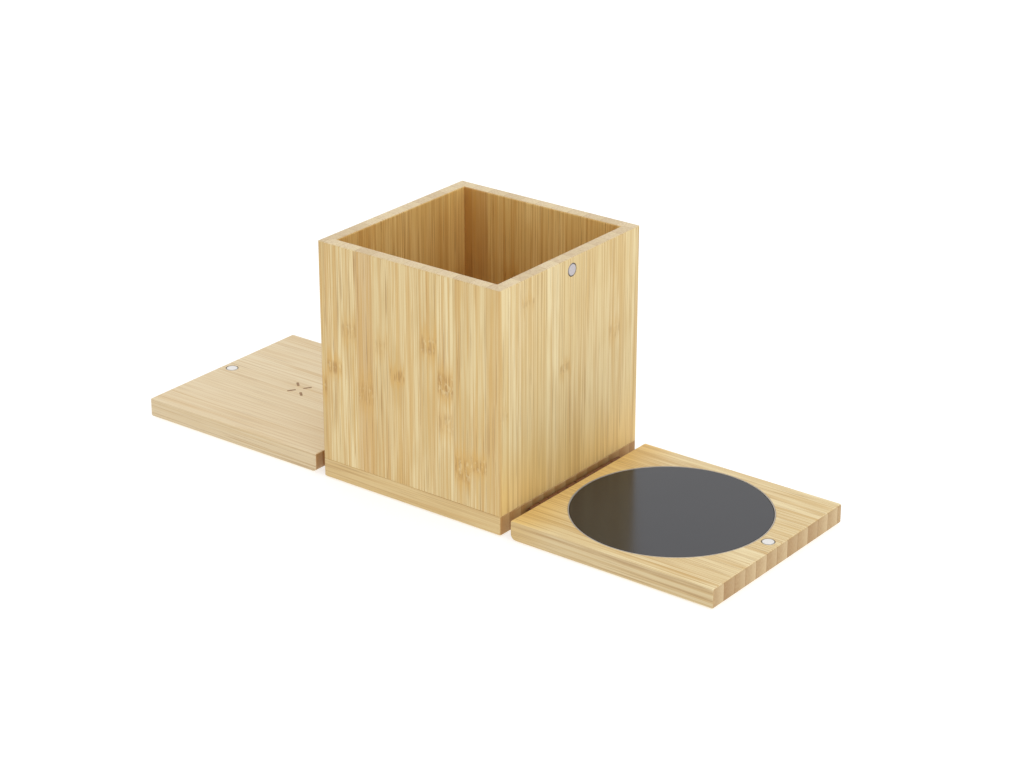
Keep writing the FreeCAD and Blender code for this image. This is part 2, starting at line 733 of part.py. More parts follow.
PIECES = {
    "base_board": base_board(),
    "front_wall": wall(BOX_WIDTH, BOX_DEPTH / 2, 0),
    "back_wall": wall(BOX_WIDTH, BOX_DEPTH / 2, 180),
    "right_wall": side_wall(),
    "left_wall": mirrored(side_wall()),
    "right_wall_magnet": in_side_wall(magnet()),
    "left_wall_magnet": mirrored(in_side_wall(magnet())),
    "base_cover": base_cover(),
    "base_cover_screws": group([screw_form(x, y, BOARD_BOTTOM) for x, y in base_cover_screw_places()]),
    "base_feet": group([foot(x, y) for x, y in BASE_FEET]),
    "power_board": power_board(),
    "power_board_screws": group([power_screw(x, y) for x, y in power_screw_places()]),
    "usb_c_inlet": power_inlet(),
    "right_hinge_base_leaves": base_leaves,
    "left_hinge_base_leaves": mirrored(base_leaves),
    "right_hinge_pins": hinge_pins(),
    "left_hinge_pins": mirrored(hinge_pins()),
    "right_hinge_base_screws": hinge_screws(BASE_SIDE),
    "left_hinge_base_screws": mirrored(hinge_screws(BASE_SIDE)),
    "warmer_lead": lead(warmer_lead_end()),
    "charger_lead": mirrored(lead(charger_lead_end())),
    "warmer_panel": on_warmer(warmer_panel()),
    "warmer_magnet": on_warmer(in_panel(magnet())),
    "heating_glass": on_warmer(heating_glass()),
    "glass_seal_ring": on_warmer(glass_seal()),
    "heating_element": on_warmer(heating_element()),
    "insulation_pad": on_warmer(insulation_pad()),
    "temperature_sensor": on_warmer(temperature_sensor()),
    "warmer_cover": on_warmer(round_cover(GLASS_CENTRE, HEATER_BORE)),
    "warmer_cover_screws": on_warmer(cover_screws(GLASS_CENTRE, HEATER_BORE)),
    "warmer_feet": on_warmer(panel_feet()),
    "warmer_hinge_leaves": warmer_leaves,
    "warmer_hinge_screws": hinge_screws(PANEL_SIDE),
    "charger_panel": on_charger(charger_panel()),
    "charger_magnet": on_charger(in_panel(magnet())),
    "charging_coil": on_charger(charging_coil()),
    "ferrite_shield": on_charger(ferrite_shield()),
    "charger_circuit": on_charger(charger_circuit()),
    "charger_cover": on_charger(round_cover(CHARGER_CENTRE, CHARGER_BORE)),
    "charger_cover_screws": on_charger(cover_screws(CHARGER_CENTRE, CHARGER_BORE)),
    "charger_feet": on_charger(panel_feet()),
    "charger_hinge_leaves": mirrored(warmer_leaves),
    "charger_hinge_screws": mirrored(hinge_screws(PANEL_SIDE)),
}

os.makedirs("parts", exist_ok=True)
for node, shape in PIECES.items():
    shape.exportStep(f"parts/{node}.step")
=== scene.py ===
import math
from typing import NamedTuple

import bpy
from mathutils import Matrix, Vector


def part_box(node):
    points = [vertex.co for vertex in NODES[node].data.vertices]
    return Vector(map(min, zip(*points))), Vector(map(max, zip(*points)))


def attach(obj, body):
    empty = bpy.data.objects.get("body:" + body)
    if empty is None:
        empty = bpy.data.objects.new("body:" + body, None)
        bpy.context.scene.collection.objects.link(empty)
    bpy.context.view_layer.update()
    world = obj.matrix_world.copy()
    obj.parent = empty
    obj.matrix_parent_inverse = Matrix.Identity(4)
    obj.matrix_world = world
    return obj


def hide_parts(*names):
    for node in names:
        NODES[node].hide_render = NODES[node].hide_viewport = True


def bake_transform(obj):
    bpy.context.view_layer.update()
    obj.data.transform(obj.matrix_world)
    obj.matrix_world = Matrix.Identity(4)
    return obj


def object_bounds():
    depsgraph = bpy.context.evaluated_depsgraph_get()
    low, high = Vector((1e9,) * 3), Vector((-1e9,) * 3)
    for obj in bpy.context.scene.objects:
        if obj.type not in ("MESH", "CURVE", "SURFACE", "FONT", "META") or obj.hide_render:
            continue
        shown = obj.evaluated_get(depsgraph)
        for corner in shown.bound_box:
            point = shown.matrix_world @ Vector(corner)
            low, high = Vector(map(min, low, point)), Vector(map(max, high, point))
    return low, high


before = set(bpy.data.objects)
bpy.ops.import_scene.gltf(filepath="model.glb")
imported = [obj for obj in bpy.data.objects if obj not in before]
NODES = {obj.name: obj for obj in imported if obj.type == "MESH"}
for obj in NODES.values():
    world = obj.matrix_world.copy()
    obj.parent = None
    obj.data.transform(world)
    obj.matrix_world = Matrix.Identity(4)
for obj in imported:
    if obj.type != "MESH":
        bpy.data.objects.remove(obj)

bl_info = {
    "name": "Bamboo Pen Box",
    "version": (1, 0, 0),
    "blender": (4, 5, 0),
    "location": "3D View > Sidebar > Pen Box",
    "description": "Dresses a bamboo pen box whose side panels fold down: a phone charger and a mug warmer",
    "category": "Object",
}

MM = 0.001
CAD_BOX = [list(corner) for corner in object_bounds()]


def paint(red, green, blue):
    """A colour given as it shows on a screen, 0 to 255, in the linear values that shaders take."""
    return tuple(((c / 255 + 0.055) / 1.055) ** 2.4 for c in (red, green, blue))


def darkened(colour, share):
    """A colour with a share of its light."""
    return tuple(part * share for part in colour)


def tint(name, description, shown):
    """A colour that a user may change."""
    return bpy.props.FloatVectorProperty(
        name=name, description=description, subtype="COLOR", size=3, min=0.0, max=1.0, default=paint(*shown)
    )


def number(name, description, default, **kind):
    """A number that a user may change."""
    return bpy.props.FloatProperty(name=name, description=description, default=default, **kind)


def measure(name, description, millimetres):
    """A length that a user may change."""
    return number(name, description, millimetres * MM, unit="LENGTH", min=0.0, precision=5)


# Settings


class BambooLook(bpy.types.PropertyGroup):
    """Colours and strip widths of the bamboo."""

    # Painted shade: the front wall's colours are darker copies of the other walls' colours, for less light on
    # the front face
    shaded_front_pale: tint("Front pale", "Pale ground of the front wall", (224, 205, 157))
    shaded_front_tan: tint("Front tan", "Darker patches of the front wall", (199, 171, 115))
    wall_pale: tint("Wall pale", "Pale ground of the other walls", (233, 216, 169))
    wall_tan: tint("Wall tan", "Darker patches of the other walls", (216, 190, 133))
    base_pale: tint("Base pale", "Pale ground of the base board", (226, 200, 144))
    base_tan: tint("Base tan", "Darker patches of the base board", (208, 177, 117))
    charger_pale: tint("Charger pale", "Pale ground of the charger panel", (232, 216, 183))
    charger_tan: tint("Charger tan", "Darker patches of the charger panel", (226, 206, 170))
    warmer_pale: tint("Warmer pale", "Pale ground of the warmer panel", (236, 219, 175))
    warmer_tan: tint("Warmer tan", "Darker patches of the warmer panel", (218, 193, 142))
    # Painted bounce light: a deeper golden tone for light thrown between the box and the warmer panel where
    # they meet
    painted_bounce: tint("Glow", "Tone where the box and the warmer panel meet", (232, 193, 110))
    gold: tint("Gold", "Golden streaks along the grain", (203, 163, 92))
    fibre: tint("Fibre", "Fine fibres along the grain", (196, 158, 98))
    fleck: tint("Fleck", "Short dark flecks along the grain", (148, 104, 52))
    knot: tint("Knot", "Golden wash where the culm had a joint", (203, 160, 84))
    rose: tint("Rose", "A strip with a rosy tint", (208, 178, 134))
    honey: tint("Honey", "A strip with a honey tint", (206, 172, 112))
    umber: tint("Umber", "Dark strips of the back wall", (176, 124, 58))
    straw: tint("Straw", "Bright strips of the left wall", (242, 220, 160))
    # Painted shade: a darker, warmer tone on the walls' inner faces, for shade and light thrown between the
    # walls inside the box
    painted_inner_shade: tint("Inner tint", "Tint of the walls' inner faces", (252, 234, 196))
    rim_end: tint("Rim end grain", "End grain on the rim of the walls", (225, 205, 168))
    # Painted shade: the end grain of the base and the charger panel is darker than the warmer's, for the
    # shade in the gaps beside the folds
    shaded_board_end: tint("Board end", "End grain of the base and the charger panel", (178, 134, 80))
    warmer_end: tint("Warmer end grain", "End grain of the warmer panel", (188, 158, 114))
    # Painted shade: a duller tone on the boards' long edges, for less light on their front and back faces
    shaded_board_edge: tint("Board edge", "Long edges of the boards", (186, 165, 126))
    burnt: tint("Burnt mark", "Burnt strokes of the charging cross", (172, 138, 104))
    wall_strip: measure("Wall strip", "Width of a strip in the walls", 7.5)
    board_strip: measure("Board strip", "Width of a strip in the boards", 6.8)


class FittingLook(bpy.types.PropertyGroup):
    """Colours of everything that isn't bamboo."""

    glass: tint("Glass", "Black glass of the warming plate", (32, 32, 36))
    seal: tint("Seal", "Thin seal round the glass", (186, 178, 168))
    nickel: tint("Nickel", "Plating of the panels' magnets", (240, 237, 234))
    # Painted reflection: the walls' magnets take a darker copy of the nickel, for the darker surroundings
    # that they reflect
    darker_reflection_nickel: tint("Dull nickel", "Plating of the walls' magnets", (194, 188, 190))
    hinge: tint("Hinge", "Dark brown coating of the hinges", (122, 72, 28))
    zinc: tint("Zinc", "Plating of the screws", (168, 168, 172))
    steel: tint("Steel", "Hinge pins and the inlet's shell", (188, 188, 190))
    rubber: tint("Rubber", "Feet and lead jackets", (52, 51, 50))
    cover: tint("Cover", "Moulded covers under the boards", (58, 57, 56))
    mask: tint("Solder mask", "Circuit boards", (38, 96, 58))
    copper: tint("Copper", "Windings of the charging coil", (196, 120, 72))
    film: tint("Heater film", "Amber film of the heater", (176, 112, 44))
    felt: tint("Felt", "Insulation pad", (222, 219, 210))
    ferrite: tint("Ferrite", "Shield behind the coil", (92, 92, 95))
    gold: tint("Contact gold", "Contacts in the inlet", (226, 186, 98))


class PieceSizes(bpy.types.PropertyGroup):
    """Sizes of the small pieces that are modelled here."""

    cross_length: measure("Cross length", "Length of a stroke of the charging cross", 3.6)
    cross_width: measure("Cross width", "Width of a stroke", 1.05)
    cross_depth: measure("Cross depth", "Thickness of the burnt layer", 0.06)
    recess_width: measure("Recess width", "Width of a screw's cross recess", 0.34)
    recess_reach: measure("Recess reach", "Length of a screw's cross recess", 1.5)
    recess_depth: measure("Recess depth", "Depth of a screw's cross recess", 0.4)
    contact_width: measure("Contact width", "Width of a contact in the inlet", 0.26)
    contact_length: measure("Contact length", "Length of a contact in the inlet", 3.6)
    contact_setback: measure("Contact setback", "From the inlet's mouth to a contact", 1.3)
    contact_pitch: measure("Contact pitch", "Distance between contacts in the inlet", 0.5)
    contact_thickness: measure("Contact thickness", "Thickness of a contact in the inlet", 0.04)


class StageSetup(bpy.types.PropertyGroup):
    """Camera, floor and light."""

    azimuth: number(
        "Azimuth", "Camera turned from the front towards the warmer", math.radians(37.489), subtype="ANGLE"
    )
    elevation: number("Elevation", "Camera above the horizon", math.radians(23.358), subtype="ANGLE")
    distance: measure("Distance", "Camera to the point it aims at", 986.984)
    aim_side: measure("Aim side", "Aim to the right of the box's middle", 11.75)
    aim_down: measure("Aim down", "Aim below the box's middle", 11.804)
    lens: number("Lens", "Focal length on a 36 mm wide sensor", 93.035, unit="CAMERA")
    floor: tint("Floor", "Plain floor", (190, 190, 190))
    sky: number("Sky", "Strength of the even light from all round", 1.0, min=0.0)
    key: number("Key", "Power of the softbox on the right", 3.0, min=0.0, unit="POWER")


class PenBoxSettings(bpy.types.PropertyGroup):
    """All settings of the pen box."""

    bamboo: bpy.props.PointerProperty(type=BambooLook)
    fittings: bpy.props.PointerProperty(type=FittingLook)
    sizes: bpy.props.PointerProperty(type=PieceSizes)
    stage: bpy.props.PointerProperty(type=StageSetup)


def settings():
    """The scene's pen box settings."""
    return bpy.context.scene.pen_box


# Shader building

# Sockets of a mix node that hold colours, among those of its other data types
MIX_COLOURS = slice(6, 8)
MIX_RESULT = 2
# Detail and roughness of fine noise
FINE = (3.0, 0.6)
# Values of noise between which a pattern changes
CRISP = (0.35, 0.65)
SOFT = (0.3, 0.7)


class Shader:
    """One material, built node by node in plain steps."""

    def __init__(self, name):
        self.material = bpy.data.materials.new(name)
        self.material.use_nodes = True
        self.tree = self.material.node_tree
        self.surface = self.tree.nodes["Principled BSDF"]
        self.coordinates = self.add("ShaderNodeTexCoord")

    def add(self, kind, *terms, **choices):
        """A new node with its options set and its first inputs fed."""
        made = self.tree.nodes.new(kind)
        for choice, value in choices.items():
            setattr(made, choice, value)
        for socket, term in zip(made.inputs, terms):
            self.feed(socket, term)
        return made

    def feed(self, socket, value):
        """Links an output to a socket, or sets a constant there."""
        if isinstance(value, bpy.types.NodeSocket):
            self.tree.links.new(value, socket)
        else:
            socket.default_value = value

    def calc(self, operation, *terms):
        """Arithmetic on numbers."""
        return self.add("ShaderNodeMath", *terms, operation=operation).outputs[0]

    def times(self, first, second):
        """The product of two numbers."""
        return self.calc("MULTIPLY", first, second)

    def vector(self, operation, *terms):
        """Arithmetic on vectors."""
        made = self.add("ShaderNodeVectorMath", *terms, operation=operation)
        return made.outputs["Value" if operation == "LENGTH" else "Vector"]

    def parts(self, value):
        """The three parts of a vector."""
        return list(self.add("ShaderNodeSeparateXYZ", value).outputs)

    def distance(self, value, middle):
        """How far a number lies from a middle."""
        return self.calc("ABSOLUTE", self.calc("SUBTRACT", value, middle))

    def place(self):
        """Where a point lies on the piece, in millimetres."""
        return self.vector("MULTIPLY", self.coordinates.outputs["Object"], (1 / MM,) * 3)

    def noise(self, place, repeats, detail=2.0, roughness=0.5):
        """Smooth noise with its repeats per millimetre along each axis."""
        made = self.add("ShaderNodeTexNoise", self.vector("MULTIPLY", place, repeats))
        made.inputs["Scale"].default_value = 1.0
        made.inputs["Detail"].default_value = detail
        made.inputs["Roughness"].default_value = roughness
        return made.outputs[0]

    def chance(self, whole):
        """A random number and a random vector for each whole number."""
        made = self.add("ShaderNodeTexWhiteNoise", noise_dimensions="1D")
        self.feed(made.inputs["W"], whole)
        return made.outputs["Value"], made.outputs["Color"]

    def step(self, value, low, high, start=0.0, end=1.0):
        """A smooth change from start to end as the value goes from low to high."""
        made = self.add("ShaderNodeMapRange", value, low, high, start, end, interpolation_type="SMOOTHSTEP")
        return made.outputs[0]

    def mix(self, share, first, second):
        """The second colour laid over the first by a share."""
        made = self.add("ShaderNodeMix", share, data_type="RGBA")
        for socket, colour in zip(made.inputs[MIX_COLOURS], (first, second)):
            self.feed(socket, colour if isinstance(colour, bpy.types.NodeSocket) else (*colour, 1.0))
        return made.outputs[MIX_RESULT]

    def bump(self, height, strength, millimetres):
        """Relief from a height pattern."""
        made = self.add("ShaderNodeBump", strength, millimetres * MM)
        self.feed(made.inputs["Height"], height)
        self.feed(self.surface.inputs["Normal"], made.outputs[0])

    def set(self, **values):
        """Sets or links inputs of the surface, written with underscores for spaces."""
        for name, value in values.items():
            self.feed(self.surface.inputs[name.replace("_", " ")], value)


def cover_with(piece, material):
    """Gives a piece its material."""
    piece.data.materials.clear()
    piece.data.materials.append(material)


def dress(material, *nodes):
    """Gives CAD nodes their material."""
    for node in nodes:
        cover_with(NODES[node], material)


# Bamboo

# Axes of a board: across the strips, into the board, along the grain
ALONG_Z_ACROSS_X = (0, 1, 2)
ALONG_Z_ACROSS_Y = (1, 0, 2)
ALONG_X_ACROSS_Y = (1, 2, 0)


class Cut(NamedTuple):
    """How a board is coloured, sawn, glued and marked. Lengths in millimetres, from the middle of the box."""

    axes: tuple
    strip: float  # width of a strip
    pale: tuple  # ground
    tan: tuple  # darker strips and patches
    end: tuple  # end grain
    shift: float  # place of the strips' borders, in strips
    figure: float  # strength of streaks, fibres and flecks
    knots: tuple = ()  # middle of the strip, height, half height, strength
    accents: tuple = ()  # middle of the strip, colour, share
    inner_face: float = 0.0  # where the inner face of a wall lies
    corner: float = 0.0  # where a wall ends in a mitre
    edge: float = 0.0  # share of painted shade on the long edges, and strength of their ply lines
    painted_bounce: tuple = ()  # start, end and share of the painted bounce light beside a fold


class Layer(NamedTuple):
    """Noise in the bamboo, the values between which it comes to show, and its share where it shows fully."""

    repeats: tuple  # per millimetre across, into and along the grain
    detail: float
    roughness: float
    low: float = 0.0
    high: float = 1.0
    share: float = 1.0


PATCHES = Layer((0.15, 0.15, 0.03), 2.0, 0.5, 0.4, 0.65, 0.6)
STREAKS = Layer((0.5, 0.5, 0.012), 3.0, 0.6, 0.51, 0.63, 0.5)
FIBRES = Layer((2.1, 2.1, 0.009), 3.0, 0.7, 0.5, 0.58, 0.7)
FLECKS = Layer((2.0, 2.0, 0.025), 2.0, 0.5, 0.62, 0.68, 0.5)
KNOT_COMB = Layer((1.0, 1.0, 0.02), 2.0, 0.6)
KNOT_LINES = Layer((1.6, 1.6, 0.1), 2.0, 0.6, 0.5, 0.57, 0.52)
KNOT_SPECKS = Layer((0.8, 0.8, 0.45), 2.0, 0.5, 0.56, 0.66, 0.4)
PLIES = Layer((0.3, 1.5, 0.012), 3.0, 0.7, 0.55, 0.64)
END_FIBRES = Layer((3.0, 0.9, 0.6), 2.0, 0.6, 0.4, 0.65, 0.3)
# Shares of the colours that are laid over the ground
TONE_SHARE = 0.6
KNOT_SHARE = 0.62
GLUE_SHARE = 0.35
MITRE_SHARE = 0.55
# Lengths in millimetres. A fade starts and ends at two distances from an edge
STRIP_SHIFT = 310.0
COMB_REACH = 22.0
GLUE_WIDTH = 0.3
STRIP_FADE = (0.1, -0.3)
MITRE_FADE = (-0.9, -0.4)
# Painted shade on the walls' inner faces fades in over these distances
INNER_SHADE_FADE = (0.5, 0.1)
# Where a knot's wash and its core start and are full, as shares of the half height
KNOT_WASH = (1.5, 0.3)
KNOT_CORE = (0.75, 0.25)
# How squarely a face has to look along an axis
SQUARE_TO_AXIS = (0.55, 0.85)
# End grain: shading across a strip, strips that are darker, shares of these strips and of the glue lines
END_SHADING = (0.1, 1.0, 0.0, 0.3)
END_TONES = (0.3, 0.8)
WALL_END = (0.2, 0.3)
BOARD_END = (0.4, 0.75)
# Oil: roughness by the fibres, its shine, how deep the glue lines sink, strength and height of the relief
OIL_ROUGHNESS = (0.3, 0.8, 0.46, 0.6)
OIL_SHINE = 0.35
GLUE_SINK = 0.5
OIL_RELIEF = (0.15, 0.05)


class Bamboo(Shader):
    """Laminated bamboo strips, with colours laid over each other from the ground to the end grain."""

    def __init__(self, name, cut):
        super().__init__(name)
        self.cut = cut
        self.look = settings().bamboo
        axes = self.parts(self.place())
        self.across, self.into, self.along = [axes[i] for i in cut.axes]
        strips = self.calc("ADD", self.calc("DIVIDE", self.across, cut.strip), cut.shift)
        self.tone, jump = self.chance(self.calc("ADD", self.calc("FLOOR", strips), cut.shift))
        place = self.add("ShaderNodeCombineXYZ", self.across, self.into, self.along).outputs[0]
        self.own = self.vector("ADD", place, self.vector("MULTIPLY", jump, (STRIP_SHIFT,) * 3))
        self.within = self.calc("FRACT", strips)
        border = self.calc("MINIMUM", self.within, self.calc("SUBTRACT", 1.0, self.within))
        self.glue = self.step(self.times(border, cut.strip), GLUE_WIDTH, 0.0)
        self.fibres = self.layer(FIBRES)
        self.faces = self.parts(self.coordinates.outputs["Normal"])

    def layer(self, kind):
        """The noise of a layer, which jumps from strip to strip."""
        return self.noise(self.own, kind.repeats, kind.detail, kind.roughness)

    def shown(self, kind, noise, strength=1.0):
        """How far a layer shows."""
        return self.step(noise, kind.low, kind.high, end=kind.share * strength)

    def lay(self, share, colour):
        """Lays a colour over the board by a share."""
        self.colour = self.mix(share, self.colour, colour)

    def fade(self, value, edge, distances, share=1.0):
        """Grows from nothing to a share as a value passes between two distances from an edge."""
        near, far = distances
        return self.step(value, edge + near, edge + far, end=share)

    def strip_mask(self, middle):
        """One strip of the board, softly bounded by its two edges."""
        return self.fade(self.distance(self.across, middle), self.cut.strip / 2, STRIP_FADE)

    def looking(self, axis):
        """Faces that look along one of the board's axes."""
        return self.step(self.calc("ABSOLUTE", self.faces[self.cut.axes[axis]]), *SQUARE_TO_AXIS)

    def ground(self):
        """Pale and tan strips with patches, tinted strips, and painted bounce light beside a fold."""
        pale, tan = self.cut.pale, self.cut.tan
        self.colour = self.mix(self.step(self.tone, 0.0, 1.0, end=TONE_SHARE), pale, tan)
        self.lay(self.shown(PATCHES, self.layer(PATCHES)), tan)
        for middle, colour, share in self.cut.accents:
            self.lay(self.times(self.strip_mask(middle), share), colour)
        # Painted bounce light, full at the fold and fading out along the grain
        for near, far, share in self.cut.painted_bounce:
            self.lay(self.step(self.along, near, far, start=share, end=0.0), self.look.painted_bounce)

    def figure(self):
        """Golden streaks, fine fibres and dark flecks along the grain."""
        strength = self.cut.figure
        self.lay(self.shown(STREAKS, self.layer(STREAKS), strength), self.look.gold)
        self.lay(self.shown(FIBRES, self.fibres, strength), self.look.fibre)
        self.lay(self.shown(FLECKS, self.layer(FLECKS), strength), self.look.fleck)

    def knots(self):
        """Joints of the culm: a golden wash with ragged ends, and dark lines and pale specks in its core."""
        comb = self.calc("SUBTRACT", self.layer(KNOT_COMB), 0.5)
        ragged = self.calc("ADD", self.along, self.times(comb, COMB_REACH))
        wash = core = None
        for middle, height, half, share in self.cut.knots:
            inside = self.times(self.strip_mask(middle), share)
            washed = self.step(self.distance(ragged, height), *(half * part for part in KNOT_WASH))
            marked = self.step(self.distance(self.along, height), *(half * part for part in KNOT_CORE))
            this_wash = self.times(inside, washed)
            this_core = self.times(inside, marked)
            wash = this_wash if wash is None else self.calc("MAXIMUM", wash, this_wash)
            core = this_core if core is None else self.calc("MAXIMUM", core, this_core)
        self.lay(self.times(wash, KNOT_SHARE), self.look.knot)
        for kind, colour in ((KNOT_LINES, self.look.fleck), (KNOT_SPECKS, self.cut.pale)):
            self.lay(self.times(core, self.shown(kind, self.layer(kind))), colour)

    def joints(self):
        """Thin glue lines between strips, the mitre at a corner, and painted shade on an inner face."""
        self.lay(self.times(self.glue, GLUE_SHARE), self.look.fibre)
        if self.cut.corner:
            outwards = self.calc("ABSOLUTE", self.across)
            self.lay(self.fade(outwards, self.cut.corner, MITRE_FADE, MITRE_SHARE), self.look.fibre)
        # Painted shade on the inner faces of the walls
        if self.cut.inner_face:
            inside = self.fade(self.calc("ABSOLUTE", self.into), self.cut.inner_face, INNER_SHADE_FADE)
            self.lay(inside, self.vector("MULTIPLY", self.colour, tuple(self.look.painted_inner_shade)))

    def shaded_long_edges(self):
        """Painted shade on the long edges, with thin dark ply lines."""
        beside = self.looking(0)
        # Painted shade on faces that look across the strips; the ply lines below are the board's own
        self.lay(self.times(beside, self.cut.edge), self.look.shaded_board_edge)
        plies = self.shown(PLIES, self.layer(PLIES), self.cut.edge)
        self.lay(self.times(beside, plies), self.look.fleck)

    def end_grain(self):
        """Cut ends, where fibres show as fine lines and each strip is shaded across."""
        tone_share, glue_share = WALL_END if self.cut.inner_face else BOARD_END
        fleck = self.look.fleck
        colour = self.mix(self.shown(END_FIBRES, self.layer(END_FIBRES)), self.cut.end, fleck)
        colour = self.mix(self.step(self.within, *END_SHADING), colour, self.cut.pale)
        colour = self.mix(self.step(self.tone, *END_TONES, end=tone_share), colour, fleck)
        colour = self.mix(self.times(self.glue, glue_share), colour, fleck)
        self.lay(self.looking(2), colour)

    def oil(self):
        """Satin oil over all, with the fibres and glue lines in slight relief."""
        roughness = self.step(self.fibres, *OIL_ROUGHNESS)
        self.set(Base_Color=self.colour, Roughness=roughness, Specular_IOR_Level=OIL_SHINE)
        relief = self.calc("SUBTRACT", self.fibres, self.times(self.glue, GLUE_SINK))
        self.bump(relief, *OIL_RELIEF)


def lay_bamboo(node, cut):
    """Gives a board its bamboo."""
    board = Bamboo(f"bamboo_{node}", cut)
    board.ground()
    board.figure()
    if cut.knots:
        board.knots()
    board.joints()
    if cut.edge:
        board.shaded_long_edges()
    board.end_grain()
    board.oil()
    dress(board.material, node)


# Knots on the walls, in millimetres: middle of the strip, height, half height, strength
FRONT_KNOTS = (
    (-42.7, 38.0, 7.0, 0.9),
    (-35.2, 46.5, 4.5, 0.9),
    (-27.7, 63.0, 6.0, 0.6),
    (-20.2, 40.0, 8.0, 0.6),
    (-12.7, 60.0, 5.0, 0.4),
    (-5.2, 51.0, 4.0, 0.9),
    (9.8, 66.5, 6.0, 0.8),
    (17.2, 53.0, 8.0, 1.0),
    (17.2, 38.0, 7.0, 0.6),
    (24.8, 22.0, 8.0, 1.0),
    (32.2, 25.5, 5.0, 0.9),
)
RIGHT_KNOTS = (
    (-26.0, 85.5, 2.0, 0.5),
    (-3.5, 53.5, 3.0, 0.6),
    (26.5, 58.0, 5.0, 0.5),
    (-41.0, 46.8, 3.0, 0.4),
)
BACK_KNOTS = (
    (-29.0, 30.0, 7.0, 0.9),
    (-14.0, 62.0, 6.0, 0.8),
    (8.5, 28.0, 7.5, 1.0),
    (23.5, 71.0, 5.5, 0.8),
    (31.0, 44.0, 6.5, 0.9),
)
LEFT_KNOTS = (
    (-26.0, 38.0, 6.5, 0.7),
    (-3.5, 66.0, 5.5, 0.6),
    (19.0, 33.0, 7.0, 0.8),
    (34.0, 58.0, 5.0, 0.6),
)
# Painted bounce light beside the fold, a deeper golden tone for light thrown between the box and the warmer
# panel: its share, and how far it reaches in millimetres
WALL_PAINTED_BOUNCE = 0.55
WALL_PAINTED_BOUNCE_REACH = 34.0
PANEL_PAINTED_BOUNCE = 0.8
PANEL_PAINTED_BOUNCE_REACH = 22.0


class PENBOX_OT_box(bpy.types.Operator):
    """Bamboo on the four walls and the base board"""

    bl_idname = "penbox.box"
    bl_label = "Box"

    def execute(self, context):
        look = settings().bamboo
        inner_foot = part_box("right_wall")[0]
        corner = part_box("base_board")[1]
        side_face = abs(inner_foot.x) / MM
        front_face = abs(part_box("front_wall")[1].y) / MM
        half_width = corner.x / MM
        half_depth = corner.y / MM
        foot = inner_foot.z / MM
        strip = look.wall_strip / MM
        wall = {"strip": strip, "pale": look.wall_pale, "tan": look.wall_tan, "end": look.rim_end}
        side = {**wall, "axes": ALONG_Z_ACROSS_Y, "inner_face": side_face, "corner": half_depth}
        back = {**wall, "axes": ALONG_Z_ACROSS_X, "inner_face": front_face, "corner": half_width}
        # Painted shade: the front wall takes the darker copies of the wall colours
        front = {**back, "pale": look.shaded_front_pale, "tan": look.shaded_front_tan}
        rosy = ((-20.2, look.rose, 0.45), (39.7, look.honey, 0.4))
        dark = ((-36.5, look.umber, 0.7), (-29.0, look.umber, 0.45))
        bright = ((37.7, look.straw, 0.7), (30.2, look.straw, 0.5))
        # Painted bounce light low on the right wall, beside the warmer's fold
        painted_bounce = ((foot, foot + WALL_PAINTED_BOUNCE_REACH, WALL_PAINTED_BOUNCE),)
        cuts = {
            "front_wall": Cut(**front, shift=0.2, figure=1.15, knots=FRONT_KNOTS, accents=rosy),
            "right_wall": Cut(**side, shift=3.0, figure=0.85, knots=RIGHT_KNOTS, painted_bounce=painted_bounce),
            "back_wall": Cut(**back, shift=5.37, figure=1.0, knots=BACK_KNOTS, accents=dark),
            "left_wall": Cut(**side, shift=7.47, figure=1.0, knots=LEFT_KNOTS, accents=bright),
            # The base: painted shade on its end grain and on its long edges
            "base_board": Cut(
                ALONG_X_ACROSS_Y, look.board_strip / MM, look.base_pale, look.base_tan, look.shaded_board_end,
                shift=3.4, figure=0.8, edge=0.3,
            ),
        }
        for node, cut in cuts.items():
            lay_bamboo(node, cut)
        return {"FINISHED"}


class PENBOX_OT_panels(bpy.types.Operator):
    """Bamboo on the two folding panels"""

    bl_idname = "penbox.panels"
    bl_label = "Folding panels"

    def execute(self, context):
        look = settings().bamboo
        strip = look.board_strip / MM
        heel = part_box("warmer_panel")[0].x / MM
        # The warmer panel: painted bounce light beside its fold, and painted shade on its long edges
        warmer = Cut(
            ALONG_X_ACROSS_Y, strip, look.warmer_pale, look.warmer_tan, look.warmer_end,
            shift=1.2, figure=0.9, edge=0.5, painted_bounce=((heel, heel + PANEL_PAINTED_BOUNCE_REACH, PANEL_PAINTED_BOUNCE),),
        )
        # The charger panel: painted shade on its end grain and on its long edges
        charger = Cut(
            ALONG_X_ACROSS_Y, strip, look.charger_pale, look.charger_tan, look.shaded_board_end,
            shift=4.6, figure=0.45, edge=0.42,
        )
        lay_bamboo("warmer_panel", warmer)
        lay_bamboo("charger_panel", charger)
        return {"FINISHED"}


# Metal, glass, rubber and plastic

GRAIN_SPREAD = 0.15  # of the roughness
BROAD_GRAIN = 12  # times the fine grain
BRUSHED_SPREAD = 0.2  # of the roughness
PLATE_BEVEL_SHADE = (0.76, 0.9)  # where painted shade on the bevel starts and is full, as shares of the magnet's radius
GLASS_SHEEN = (0.95, 0.97, 1.06, 1.0)
TURNS_PER_MM = 1.6
TRACKS_PER_MM = 0.35


